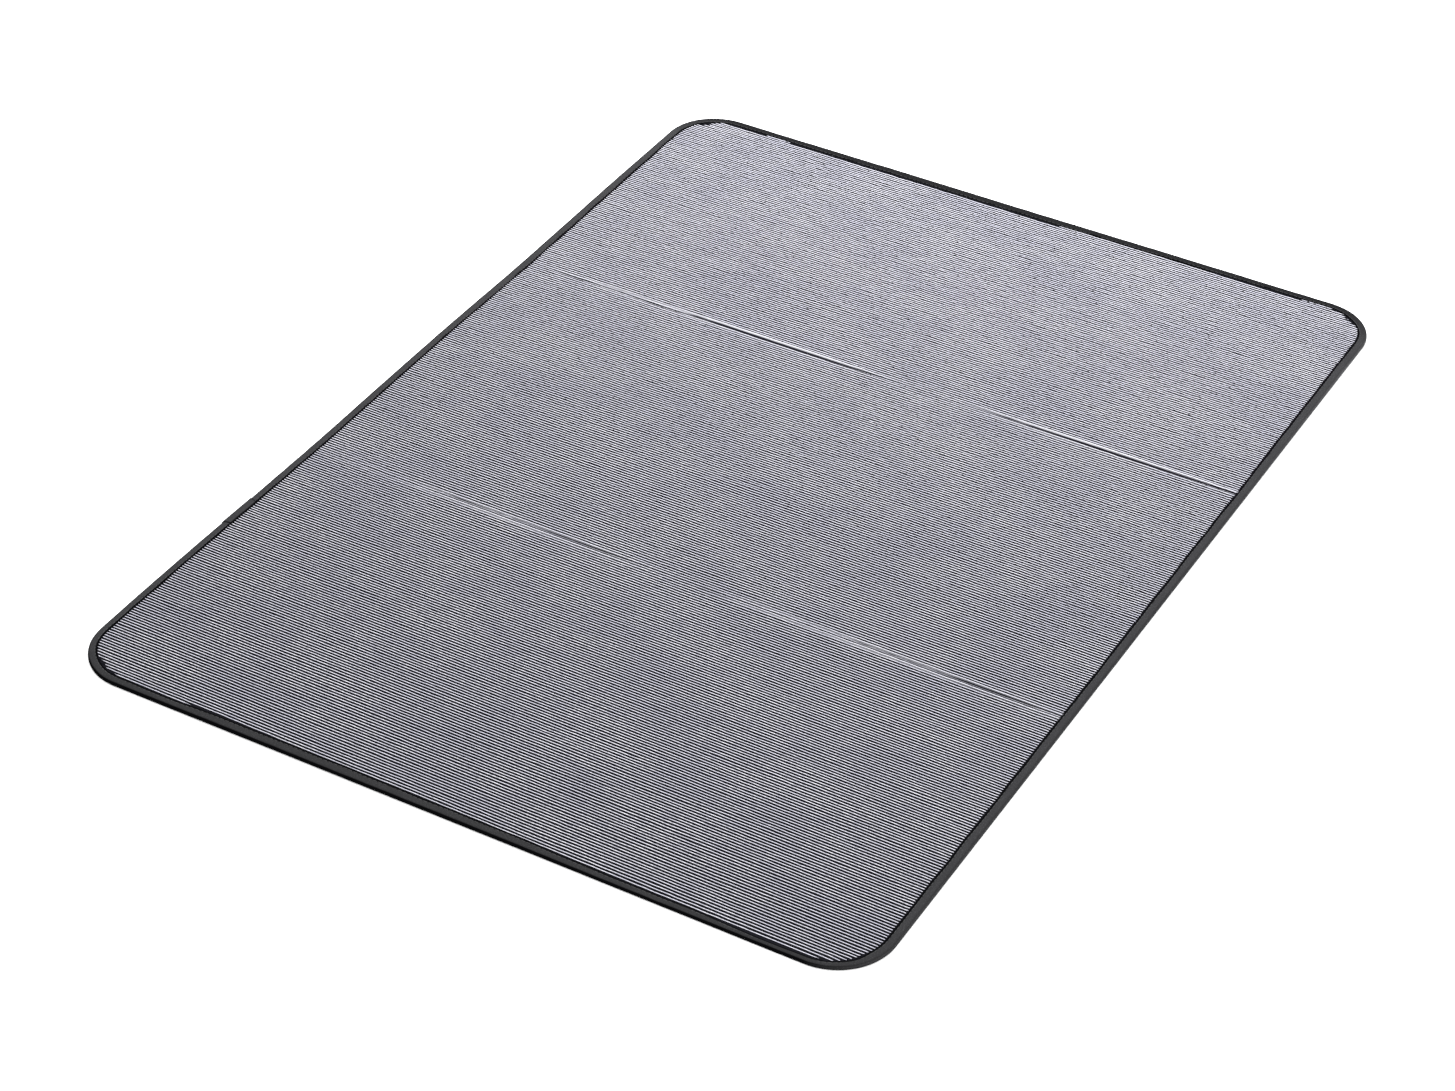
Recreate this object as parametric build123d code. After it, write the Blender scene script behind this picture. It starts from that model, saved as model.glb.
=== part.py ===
from build123d import *

import os

# A fabric-covered seedling heat mat that folds in three, laid out flat.
#
# The frame: X runs across the mat, Y along it towards the rear edge, Z up.  The origin is
# the middle of the face that the mat rests on.  The mat is three panels, joined at two
# creases that run across it.  Both outer panels fold up and over the middle one: the rear
# panel first, then the front panel on top of it.
#
# Each panel is a stack, from the bottom up: backing, felt pad, foil reflector, and a heater
# film of carbon bars between two copper bus strips, under a ribbed cover.  A woven tape
# binds the edge.  Sizes are in millimetres.

# --- Outline ------------------------------------------------------------------------
MAT_WIDTH = 500.0
MAT_LENGTH = 700.0
CORNER_RADIUS = 35.0
FRONT_LENGTH = 240.0
REAR_LENGTH = 220.0
CREASE_GAP = 0.4

FRONT_EDGE = -MAT_LENGTH / 2
REAR_EDGE = MAT_LENGTH / 2
FRONT_CREASE = FRONT_EDGE + FRONT_LENGTH
REAR_CREASE = REAR_EDGE - REAR_LENGTH

# --- Edge binding -------------------------------------------------------------------
TAPE_THICKNESS = 0.35
TAPE_FOLD_THICKNESS = 0.8
TAPE_WIDTH = 5.6
TAPE_EDGE_RADIUS = 1.2
EDGE_THICKNESS = 3.0
THREAD_INSET = 4.6
THREAD_WIDTH = 0.4
THREAD_DEPTH = 0.1
LAP_LENGTH = 28.0
LAP_THICKNESS = 0.3
LAP_MIDDLE = -186.0

# --- Levels of the layers, from the resting face up -----------------------------------
BACKING_TOP = 0.6
FOIL_BOTTOM = 1.3
FILM_THICKNESS = 0.1
FILM_BOTTOM = FOIL_BOTTOM + FILM_THICKNESS
BUS_BOTTOM = FILM_BOTTOM + FILM_THICKNESS
FILM_TOP_BOTTOM = BUS_BOTTOM + FILM_THICKNESS
COVER_BOTTOM = FILM_TOP_BOTTOM + FILM_THICKNESS
COVER_TOP = 2.8
CREASE_CHAMFER = 0.6

# --- Heater -------------------------------------------------------------------------
HEATER_HALF_WIDTH = 234.0
HEATER_EDGE_MARGIN = 16.0
HEATER_CREASE_MARGIN = 6.0
FELT_CREASE_MARGIN = 4.0
WIRING_LANE = 34.0
BUS_WIDTH = 8.0
BUS_X = 226.0
BUS_TAIL = 4.0
BAR_WIDTH = 12.0
BAR_PITCH = 20.0
BRAID_WIDTH = 6.0
BRAID_THICKNESS = 0.4
SLOT_CLEARANCE = 0.5

# --- Inlet and wiring, in the rear panel --------------------------------------------
INLET_X = -150.0
INLET_WIDTH = 30.0
INLET_DEPTH = 16.0
INLET_HEIGHT = 1.7
INLET_LEVEL = 1.3
MOUTH_WIDTH = 20.0
MOUTH_HEIGHT = 1.0
MOUTH_DEPTH = 10.0
CONTACT_WIDTH = 3.5
CONTACT_THICKNESS = 0.4
CONTACT_SPACING = 10.0
CONTACT_SETBACK = 2.0
LEAD_DIAMETER = 0.8
LEAD_BEND = 3.0
LEAD_LANE_Y = 328.0
CHANNEL_WIDTH = 1.0
PAD_WIDTH = 4.0
CUTOFF_LENGTH = 11.0
CUTOFF_WIDTH = 4.0
CUTOFF_THICKNESS = 0.8
CUTOFF_X = -188.0
CUTOFF_DROP = 0.1
SLEEVE_WALL = 0.1
SLEEVE_OVERHANG = 1.0

TALL = 20.0
INLET_REAR = REAR_EDGE - TAPE_FOLD_THICKNESS
INLET_FRONT = INLET_REAR - INLET_DEPTH

# Each panel's lowest and highest Y, and the same for its heater film.
PANELS = {
    "front": (FRONT_EDGE, FRONT_CREASE - CREASE_GAP / 2),
    "middle": (FRONT_CREASE + CREASE_GAP / 2, REAR_CREASE - CREASE_GAP / 2),
    "rear": (REAR_CREASE + CREASE_GAP / 2, REAR_EDGE),
}
HEATERS = {
    "front": (FRONT_EDGE + HEATER_EDGE_MARGIN, FRONT_CREASE - HEATER_CREASE_MARGIN),
    "middle": (FRONT_CREASE + HEATER_CREASE_MARGIN, REAR_CREASE - HEATER_CREASE_MARGIN),
    "rear": (REAR_CREASE + HEATER_CREASE_MARGIN, REAR_EDGE - WIRING_LANE),
}
# Where a bus strip's bare tail runs on past its film: the direction along Y at each end.
TAIL_ENDS = {"front": (1,), "middle": (-1, 1), "rear": (-1, 1)}
# The creases each panel's flexible braids run up to, as seen from that panel.
BRAID_ENDS = {
    "front": ("front", 1),
    "middle_front": ("middle", -1),
    "middle_rear": ("middle", 1),
    "rear": ("rear", -1),
}


def block(x, y, z):
    """A box between two values of each axis."""
    size = Box(x[1] - x[0], y[1] - y[0], z[1] - z[0])
    return Pos((x[0] + x[1]) / 2, (y[0] + y[1]) / 2, (z[0] + z[1]) / 2) * size


def slab(inset, bottom, top):
    """The mat's outline, drawn in by inset, as a plate between two levels."""
    outline = RectangleRounded(
        MAT_WIDTH - 2 * inset, MAT_LENGTH - 2 * inset, CORNER_RADIUS - inset
    )
    return Pos(0, 0, bottom) * extrude(outline, top - bottom)


def ring(outer_inset, inner_inset, bottom, top):
    """A flat band round the edge of the mat, between two insets."""
    return slab(outer_inset, bottom, top) - slab(inner_inset, bottom - 1, top + 1)


def panel_zone(panel):
    """Everything over and under one panel, for cutting a whole layer into panels."""
    low, high = PANELS[panel]
    low = low - TALL if panel == "front" else low
    high = high + TALL if panel == "rear" else high
    return block((-MAT_WIDTH, MAT_WIDTH), (low, high), (-TALL, TALL))


def both_sides(piece):
    """A piece on the right and its mirror image on the left, as separate solids."""
    return Compound(children=[piece, mirror(piece, Plane.YZ)])


# --- Skins and edge -----------------------------------------------------------------
def backing():
    """The coated sheet underneath: thin under the binding, full thickness inside it."""
    border = slab(TAPE_FOLD_THICKNESS, TAPE_THICKNESS, BACKING_TOP)
    sheet = border + slab(TAPE_WIDTH, 0, BACKING_TOP)
    return sheet - inlet_pocket()


def cover():
    """The ribbed cover, with a lower border that the binding lies on."""
    border = slab(TAPE_FOLD_THICKNESS, COVER_BOTTOM, EDGE_THICKNESS - TAPE_THICKNESS)
    sheet = border + slab(TAPE_WIDTH, COVER_BOTTOM, COVER_TOP)
    return sheet - inlet_pocket()


def softened_crease(part, panel):
    """The top edges along the creases cut back, which leaves a groove at each crease."""
    ends = [y for y in PANELS[panel] if abs(y) < MAT_LENGTH / 2 - 1]
    edges = [
        edge
        for edge in part.edges().filter_by(Axis.X)
        if abs(edge.center().Z - COVER_TOP) < 0.01
        and min(abs(edge.center().Y - y) for y in ends) < 0.01
    ]
    return chamfer(edges, CREASE_CHAMFER)


def binding():
    """Woven tape folded over the edge, with a groove for the thread in each face."""
    outer = slab(0, 0, EDGE_THICKNESS)
    rims = outer.edges().group_by(Axis.Z)
    outer = fillet(rims[0] + rims[-1], TAPE_EDGE_RADIUS)
    edge_core = slab(TAPE_FOLD_THICKNESS, TAPE_THICKNESS, EDGE_THICKNESS - TAPE_THICKNESS)
    tape = outer - edge_core - slab(TAPE_WIDTH, -1, EDGE_THICKNESS + 1)
    return tape - thread_runs()[0] - thread_runs()[1] - inlet_mouth()


def thread_runs():
    """The upper and lower threads of the seam, each a flat run set into the tape."""
    half = THREAD_WIDTH / 2
    levels = ((EDGE_THICKNESS - THREAD_DEPTH, EDGE_THICKNESS), (0, THREAD_DEPTH))
    return [ring(THREAD_INSET - half, THREAD_INSET + half, *level) for level in levels]


def binding_lap():
    """The tape's end, lapped over its start on the left edge."""
    left = -MAT_WIDTH / 2
    return block(
        (left + TAPE_EDGE_RADIUS, left + TAPE_WIDTH),
        (LAP_MIDDLE - LAP_LENGTH / 2, LAP_MIDDLE + LAP_LENGTH / 2),
        (EDGE_THICKNESS, EDGE_THICKNESS + LAP_THICKNESS),
    )


# --- Heater -------------------------------------------------------------------------
def heater_sheet(panel, bottom):
    """One thin sheet of the heater stack."""
    low, high = HEATERS[panel]
    half = HEATER_HALF_WIDTH
    return block((-half, half), (low, high), (bottom, bottom + FILM_THICKNESS))


def bus_strips(panel):
    """The copper strips at each side of the film, with bare tails to solder to."""
    low, high = HEATERS[panel]
    low = low - BUS_TAIL if -1 in TAIL_ENDS[panel] else low
    high = high + BUS_TAIL if 1 in TAIL_ENDS[panel] else high
    x = (BUS_X - BUS_WIDTH / 2, BUS_X + BUS_WIDTH / 2)
    return both_sides(block(x, (low, high), (BUS_BOTTOM, BUS_BOTTOM + FILM_THICKNESS)))


def carbon_bars(panel):
    """The printed heating bars, from bus strip to bus strip."""
    low, high = HEATERS[panel]
    count = int((high - low + BAR_PITCH - BAR_WIDTH) // BAR_PITCH)
    half = BUS_X - BUS_WIDTH / 2
    bar = Box(2 * half, BAR_WIDTH, FILM_THICKNESS)
    first = (low + high - (count - 1) * BAR_PITCH) / 2
    level = BUS_BOTTOM + FILM_THICKNESS / 2
    bars = [Pos(0, first + i * BAR_PITCH, level) * bar for i in range(count)]
    return Compound(children=bars)


def braid_span(panel, way):
    """A crease braid's two ends along Y, from the crease back to the heater film."""
    low, high = PANELS[panel]
    film_low, film_high = HEATERS[panel]
    return (film_high, high) if way > 0 else (low, film_low)


def crease_braids(panel, way):
    """Flexible copper braids under the bus tails, which carry current over a crease."""
    x = (BUS_X - BRAID_WIDTH / 2, BUS_X + BRAID_WIDTH / 2)
    z = (BUS_BOTTOM - BRAID_THICKNESS, BUS_BOTTOM)
    return both_sides(block(x, braid_span(panel, way), z))


# --- Felt pad -----------------------------------------------------------------------
def felt_pad(panel):
    """The felt: a tray for the heater, slotted for braids and leads, short of the creases."""
    pad = slab(TAPE_FOLD_THICKNESS, BACKING_TOP, COVER_BOTTOM) & panel_zone(panel)
    for crease in (FRONT_CREASE, REAR_CREASE):
        span = (crease - FELT_CREASE_MARGIN, crease + FELT_CREASE_MARGIN)
        pad -= block((-MAT_WIDTH, MAT_WIDTH), span, (-TALL, TALL))
    low, high = HEATERS[panel]
    half = HEATER_HALF_WIDTH
    pad -= block((-half, half), (low, high), (FOIL_BOTTOM, TALL))
    half = BUS_WIDTH / 2 + SLOT_CLEARANCE
    for end_panel, way in BRAID_ENDS.values():
        if end_panel == panel:
            slot_z = (BUS_BOTTOM - BRAID_THICKNESS, TALL)
            slot = block((BUS_X - half, BUS_X + half), braid_span(panel, way), slot_z)
            pad -= slot + mirror(slot, Plane.YZ)
    if panel == "rear":
        pad = pad - inlet_pocket() - wiring_channels()
    return pad


def wiring_channels():
    """Channels for the leads, and pockets for the thermal cutoff and the solder pads."""
    bottom = INLET_LEVEL - LEAD_DIAMETER / 2
    cut = cutoff_envelope()
    for route in lead_routes().values():
        cut += Pos(0, 0, bottom) * extrude(trace(route, CHANNEL_WIDTH), TALL)
    half = BUS_WIDTH / 2 + SLOT_CLEARANCE
    rear = HEATERS["rear"][1]
    x = (BUS_X - half, BUS_X + half)
    pocket = block(x, (rear, rear + BUS_TAIL + CHANNEL_WIDTH), (bottom, TALL))
    return cut + pocket + mirror(pocket, Plane.YZ)


# --- Inlet and wiring ---------------------------------------------------------------
def inlet_envelope(bottom, top):
    """The slim inlet's outline between two levels."""
    x = (INLET_X - INLET_WIDTH / 2, INLET_X + INLET_WIDTH / 2)
    return block(x, (INLET_FRONT, INLET_REAR), (bottom, top))


def inlet_pocket():
    """The room that the layers round the inlet leave for it."""
    return inlet_envelope(INLET_LEVEL - INLET_HEIGHT / 2, INLET_LEVEL + INLET_HEIGHT / 2)


def inlet_mouth():
    """The opening that takes the plug, through the binding and into the housing."""
    return block(
        (INLET_X - MOUTH_WIDTH / 2, INLET_X + MOUTH_WIDTH / 2),
        (INLET_REAR - MOUTH_DEPTH, REAR_EDGE + 1),
        (INLET_LEVEL - MOUTH_HEIGHT / 2, INLET_LEVEL + MOUTH_HEIGHT / 2),
    )


def contact_x(sign):
    """The middle of a contact: the left one is -1 and the right one is 1."""
    return INLET_X + sign * CONTACT_SPACING / 2


def contact(sign):
    """One flat blade of the inlet."""
    x = (contact_x(sign) - CONTACT_WIDTH / 2, contact_x(sign) + CONTACT_WIDTH / 2)
    z = (INLET_LEVEL - CONTACT_THICKNESS / 2, INLET_LEVEL + CONTACT_THICKNESS / 2)
    return block(x, (INLET_FRONT, INLET_REAR - CONTACT_SETBACK), z)


def inlet_half(upper):
    """Half of the inlet housing, split level with the contacts."""
    reach = INLET_HEIGHT / 2
    bottom = INLET_LEVEL if upper else INLET_LEVEL - reach
    shell = inlet_envelope(bottom, bottom + reach)
    return shell - inlet_mouth() - contact(-1) - contact(1)


def lead_routes():
    """The centre lines of the leads, from the inlet's contacts to the bus strips."""
    rear = HEATERS["rear"][1] + BUS_TAIL
    start = INLET_FRONT
    cutoff_right = CUTOFF_X + CUTOFF_LENGTH / 2
    cutoff_left = CUTOFF_X - CUTOFF_LENGTH / 2
    corners = {
        "lead_inlet_to_cutoff": [
            (contact_x(-1), start), (contact_x(-1), LEAD_LANE_Y), (cutoff_right, LEAD_LANE_Y),
        ],
        "lead_cutoff_to_bus": [
            (cutoff_left, LEAD_LANE_Y), (-BUS_X, LEAD_LANE_Y), (-BUS_X, rear),
        ],
        "lead_return": [
            (contact_x(1), start), (contact_x(1), LEAD_LANE_Y),
            (BUS_X, LEAD_LANE_Y), (BUS_X, rear),
        ],
    }
    return {name: FilletPolyline(*points, radius=LEAD_BEND) for name, points in corners.items()}


def lead(route):
    """A round insulated lead along one route."""
    raised = Pos(0, 0, INLET_LEVEL) * route
    section = Plane(origin=raised @ 0, z_dir=raised % 0) * Circle(LEAD_DIAMETER / 2)
    return sweep(section, path=raised)


def solder_pads():
    """The blocks of solder that join the two leads to the bus tails."""
    rear = HEATERS["rear"][1]
    x = (BUS_X - PAD_WIDTH / 2, BUS_X + PAD_WIDTH / 2)
    z = (INLET_LEVEL - LEAD_DIAMETER / 2, BUS_BOTTOM)
    return both_sides(block(x, (rear, rear + BUS_TAIL), z))


def cutoff_box(grow_length, grow):
    """The thermal cutoff's box, made larger by grow on its sides."""
    return Pos(CUTOFF_X, LEAD_LANE_Y, INLET_LEVEL - CUTOFF_DROP) * Box(
        CUTOFF_LENGTH + 2 * grow_length, CUTOFF_WIDTH + 2 * grow, CUTOFF_THICKNESS + 2 * grow
    )


def thermal_cutoff():
    """The flat cutoff that opens the circuit when the mat runs too hot."""
    return cutoff_box(0, 0)


def cutoff_sleeve():
    """The shrink sleeve round the cutoff, notched at its ends for the leads."""
    sleeve = cutoff_box(SLEEVE_OVERHANG, SLEEVE_WALL) - cutoff_box(SLEEVE_OVERHANG + 1, 0)
    leads = Pos(CUTOFF_X, LEAD_LANE_Y, INLET_LEVEL) * Box(TALL, CHANNEL_WIDTH, LEAD_DIAMETER)
    return sleeve - (leads - cutoff_box(0, 1))


def cutoff_envelope():
    """The pocket in the felt for the cutoff and its sleeve."""
    return cutoff_box(SLEEVE_OVERHANG, SLEEVE_WALL)


def all_parts():
    """Every node's shape by name."""
    parts = {}
    layers = {"backing": backing(), "ribbed_cover": cover(), "edge_binding": binding()}
    threads = thread_runs()
    for panel in PANELS:
        zone = panel_zone(panel)
        parts[f"backing_{panel}"] = layers["backing"] & zone
        parts[f"ribbed_cover_{panel}"] = softened_crease(layers["ribbed_cover"] & zone, panel)
        parts[f"edge_binding_{panel}"] = layers["edge_binding"] & zone
        runs = [solid for run in threads for solid in (run & zone).solids()]
        parts[f"binding_thread_{panel}"] = Compound(children=runs)
        parts[f"felt_pad_{panel}"] = felt_pad(panel)
        parts[f"foil_reflector_{panel}"] = heater_sheet(panel, FOIL_BOTTOM)
        parts[f"heater_film_base_{panel}"] = heater_sheet(panel, FILM_BOTTOM)
        parts[f"heater_film_top_{panel}"] = heater_sheet(panel, FILM_TOP_BOTTOM)
        parts[f"bus_strips_{panel}"] = bus_strips(panel)
        parts[f"carbon_bars_{panel}"] = carbon_bars(panel)
    for name, (panel, way) in BRAID_ENDS.items():
        parts[f"crease_braids_{name}"] = crease_braids(panel, way)
    for name, route in lead_routes().items():
        parts[name] = lead(route)
    parts["solder_pads"] = solder_pads()
    parts["thermal_cutoff"] = thermal_cutoff()
    parts["cutoff_sleeve"] = cutoff_sleeve()
    parts["inlet_housing_base"] = inlet_half(upper=False)
    parts["inlet_housing_lid"] = inlet_half(upper=True)
    parts["inlet_contact_left"] = contact(-1)
    parts["inlet_contact_right"] = contact(1)
    parts["binding_lap"] = binding_lap()
    return parts


def main():
    os.makedirs("parts", exist_ok=True)
    for name, shape in all_parts().items():
        export_step(shape, f"parts/{name}.step")


main()
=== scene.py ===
"""The looks of a folding seedling heat mat: ribbed cover, taped edge and coated back.

Lengths are metres.  The mat lies flat, with the ribs across it along X and the rear edge at +Y.
The cover, backing, tape and stitches are two pieces each.  They part along a groove in the
middle panel, and each crosses one crease as unbroken cloth.
"""
import math

import bpy
import numpy as np
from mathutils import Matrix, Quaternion, Vector


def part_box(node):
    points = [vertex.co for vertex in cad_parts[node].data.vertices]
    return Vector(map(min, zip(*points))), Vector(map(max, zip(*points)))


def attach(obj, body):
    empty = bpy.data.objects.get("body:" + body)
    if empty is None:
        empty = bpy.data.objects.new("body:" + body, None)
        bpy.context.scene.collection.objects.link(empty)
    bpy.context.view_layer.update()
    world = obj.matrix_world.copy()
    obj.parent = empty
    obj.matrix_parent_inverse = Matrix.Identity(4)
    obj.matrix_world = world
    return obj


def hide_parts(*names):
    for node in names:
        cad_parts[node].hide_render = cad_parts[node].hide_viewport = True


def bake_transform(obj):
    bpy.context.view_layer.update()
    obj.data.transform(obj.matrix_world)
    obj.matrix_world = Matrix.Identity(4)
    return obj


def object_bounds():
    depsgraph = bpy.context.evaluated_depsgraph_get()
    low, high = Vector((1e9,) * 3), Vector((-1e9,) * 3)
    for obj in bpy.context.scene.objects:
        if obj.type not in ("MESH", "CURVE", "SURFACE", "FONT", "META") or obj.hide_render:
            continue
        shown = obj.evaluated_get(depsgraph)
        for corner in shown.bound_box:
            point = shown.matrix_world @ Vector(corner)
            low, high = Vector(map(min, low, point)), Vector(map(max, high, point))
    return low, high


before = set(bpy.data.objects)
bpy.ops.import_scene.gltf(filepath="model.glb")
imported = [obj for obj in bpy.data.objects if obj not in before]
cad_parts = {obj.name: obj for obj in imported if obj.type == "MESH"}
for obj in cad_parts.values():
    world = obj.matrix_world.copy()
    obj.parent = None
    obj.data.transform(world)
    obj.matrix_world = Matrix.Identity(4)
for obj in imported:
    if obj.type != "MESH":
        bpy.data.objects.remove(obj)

MM = 0.001
CAD_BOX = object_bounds()

# --- Outline and creases, from the frame ----------------------------------------------
HALF_WIDTH = CAD_BOX[1].x
HALF_LENGTH = CAD_BOX[1].y
EDGE_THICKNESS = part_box("edge_binding_rear")[1].z
RIBS_ABOVE_CAD = 0.15 * MM
COVER_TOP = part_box("ribbed_cover_rear")[1].z + RIBS_ABOVE_CAD
REAR_CREASE = (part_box("ribbed_cover_rear")[0].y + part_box("ribbed_cover_middle")[1].y) / 2
FRONT_CREASE = (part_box("ribbed_cover_front")[1].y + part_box("ribbed_cover_middle")[0].y) / 2
LAP_LOW, LAP_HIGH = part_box("binding_lap")
CORNER_RADIUS = 35 * MM
# The Y where the rear and front pieces part: a little off the middle between the two creases.
SPLIT_OFFSET = -0.95 * MM
SPLIT = (REAR_CREASE + FRONT_CREASE) / 2 + SPLIT_OFFSET
# Near the front and rear edges the tape runs unevenly: how far in that starts, and its fade.
END_DEPTH = 22 * MM
END_FADE = 14 * MM

# --- Cover ----------------------------------------------------------------------------
RIB_PITCH = 2.0775 * MM
RIB_HEIGHT = 0.75 * MM
# How far the ribs run askew, as Y over X: everywhere, and as much more at the front edge.
RIB_SKEW = -0.005
FRONT_RIB_SKEW = -0.002
# Each rib's unevenness: everywhere, and as much more at the rear edge.
RIB_JITTER = 0.06 * MM
REAR_RIB_JITTER = 0.05 * MM
RIB_WANDER_WIDTH = 0.09 * MM
RIB_SWELL_SHARE = 0.05
# A rib's section, as shares of the pitch and of the height.
RIB_SECTION = ((-0.20, 0.0), (-0.12, 0.5), (-0.045, 1.0), (0.045, 1.0), (0.12, 0.5), (0.20, 0.0))
COVER_INSET = 2.6 * MM
COVER_COLUMNS = 94
COVER_LIFT_SHARE = 0.85
# Painted shadow along the tape's inner edge: the pale cords start a gap past the tape at the two
# ends, and turn fully pale over a fade, so the ground colour paints a dark line beside the tape.
END_PAINTED_SHADOW_WIDTH = 0.35 * MM
CORD_FADE = 0.6 * MM
# The ribs are pressed down under the tape, up to this far in, and rise over the fade.
PRESSED_DEPTH = 0.35 * MM
PRESSED_INSET = 4.2 * MM
PRESSED_FADE = 2.5 * MM
GROOVE_DEPTH_LIMIT = 0.3 * MM
CREASE_DEPTH = 0.9 * MM
LIP_HEIGHT = 0.5 * MM
# The lips beside a crease: distance from its line, and spread, both in millimetres.
LIP_PLACE = 1.9
LIP_SPREAD = 0.8

# --- Backing --------------------------------------------------------------------------
BACKING_THICKNESS = 0.15 * MM
BACKING_LEVEL = 0.07 * MM
BACKING_RIPPLE = 0.04 * MM
BACKING_LOWEST = 0.01 * MM
BACKING_LOWEST_TOP = 0.3 * MM
# How far the backing rises where the tape's lower leg covers its edge.
BACKING_TUCK = 0.31 * MM

# --- Tape -----------------------------------------------------------------------------
TAPE_WIDTH = 5.9 * MM
TAPE_STEP = 1.6 * MM
MOUTH_WIDTH = 20 * MM
LAP_STEP = 1.0 * MM
LAP_OVERHANG = 0.7 * MM
LAP_STANDOFF = 0.32 * MM
LAP_SINK = 0.05 * MM
LAP_SKEW = 1.6 * MM

# The tape's section: distance in from the edge as a share of the leg, and height as a share
# of the edge's thickness, from the inner edge of the upper leg round to the lower one.
TAPE_OUTSIDE = (
    (1.0, 0.90), (1.0, 0.955), (0.965, 0.985), (0.90, 0.975), (0.82, 0.955), (0.74, 0.975),
    (0.62, 1.0), (0.45, 1.005), (0.30, 0.99), (0.18, 0.955), (0.09, 0.88), (0.03, 0.76),
    (0.0, 0.60), (0.0, 0.42), (0.02, 0.27), (0.07, 0.13), (0.15, 0.04), (0.25, 0.005),
    (0.50, 0.0), (0.80, 0.015), (0.97, 0.015), (1.0, 0.05),
)
TAPE_INSIDE = (
    (1.0, 0.115), (0.6, 0.12), (0.2, 0.16), (0.14, 0.5), (0.2, 0.83), (0.6, 0.875), (0.99, 0.86),
)
# The section's points that the inlet's mouth opens between: top, middle and bottom of the
# wall outside, and bottom, middle and top of it inside.
WALL_OUTSIDE = (12, 13, 14)
WALL_INSIDE = (24, 25, 26)

# --- Thread and braids ----------------------------------------------------------------
STITCH_INSET = 1.1 * MM
STITCH_PITCH = 3.2 * MM
STITCH_SINK = 0.12 * MM
THREAD_RADIUS = 0.2 * MM
THREAD_FLATNESS = 0.6
THREAD_SIDES = 6
# The seam's level on the upper face, as a share of the edge's thickness, and on the lower one.
UPPER_SEAM_SHARE = 0.955
LOWER_SEAM_LEVEL = 0.02 * MM
# A stitch's shape: place along it as a share of the pitch, and thickness there.
STITCH_SHAPE = ((-0.42, 0.35), (-0.34, 0.9), (0.0, 1.0), (0.34, 0.9), (0.42, 0.35))
BRAID_WIDTH = 6.0 * MM
BRAID_RIDGE = 0.08 * MM

# How far the panels' upper edge stands above or below a flat mat along the left side:
# Y place and height, both in millimetres.
LEFT_EDGE_LIFT = (
    (-350, 0.3), (-266, 1.2), (-110, -0.6), (20, 0.45), (130, -0.5), (250, 0.55), (350, 0.2),
)
RIGHT_SHARE = 0.35
RIPPLE_HEIGHT = 0.1 * MM

RANDOM = np.random.default_rng(seed=12)


# --- Shape helpers --------------------------------------------------------------------
def smoothstep(t):
    """Nothing below 0, one above 1, and a smooth rise between."""
    t = np.clip(t, 0, 1)
    return t * t * (3 - 2 * t)


def bulge(t, centre, spread):
    """One at the centre, falling to nothing over the spread."""
    return np.exp(-(((t - centre) / spread) ** 2))


def near_end(y):
    """One near the rear edge, falling to nothing END_DEPTH in from it."""
    return smoothstep((y - HALF_LENGTH + END_DEPTH) / END_FADE)


def ripples(size, count=7):
    """A smooth random surface of about unit height, with features of about the given size."""
    angles = RANDOM.uniform(0, 2 * math.pi, count)
    lengths = size * RANDOM.uniform(0.7, 1.5, count)
    phases = RANDOM.uniform(0, 2 * math.pi, count)

    def height(x, y):
        waves = [
            np.sin(2 * math.pi * (x * math.cos(a) + y * math.sin(a)) / length + phase)
            for a, length, phase in zip(angles, lengths, phases)
        ]
        return sum(waves) / math.sqrt(count)

    return height


PANEL_RIPPLE = ripples(120 * MM)
CREASE_WANDER = ripples(70 * MM)
RIB_WANDER = ripples(45 * MM)
RIB_SWELL = ripples(9 * MM)
TAPE_WANDER = ripples(30 * MM)


def edge_lift(y):
    """The left side's lift at Y, smooth from one stated height to the next."""
    places = np.array([place for place, _ in LEFT_EDGE_LIFT]) * MM
    heights = np.array([height for _, height in LEFT_EDGE_LIFT]) * MM
    y = np.clip(y, places[0], places[-1])
    after = np.clip(np.searchsorted(places, y), 1, len(places) - 1)
    share = smoothstep((y - places[after - 1]) / (places[after] - places[after - 1]))
    return heights[after - 1] + share * (heights[after] - heights[after - 1])


def lift(x, y):
    """How far the upper side stands above the flat mat: most along the left edge."""
    across = ((HALF_WIDTH - x) / (2 * HALF_WIDTH)) ** 1.5
    share = RIGHT_SHARE + (1 - RIGHT_SHARE) * np.clip(across, 0, 1)
    return edge_lift(y) * share + RIPPLE_HEIGHT * PANEL_RIPPLE(x, y)


def half_width_at(y, inset):
    """Half the width of the outline drawn in by inset, at Y."""
    past = np.clip(np.abs(y) - (HALF_LENGTH - CORNER_RADIUS), 0, CORNER_RADIUS - inset)
    arc = np.sqrt((CORNER_RADIUS - inset) ** 2 - past**2)
    return HALF_WIDTH - CORNER_RADIUS + arc


def inset_of(x, y):
    """Distance in from the outline."""
    dx = np.abs(x) - (HALF_WIDTH - CORNER_RADIUS)
    dy = np.abs(y) - (HALF_LENGTH - CORNER_RADIUS)
    outside = np.hypot(np.clip(dx, 0, None), np.clip(dy, 0, None))
    return CORNER_RADIUS - outside - np.clip(np.maximum(dx, dy), None, 0)


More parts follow.
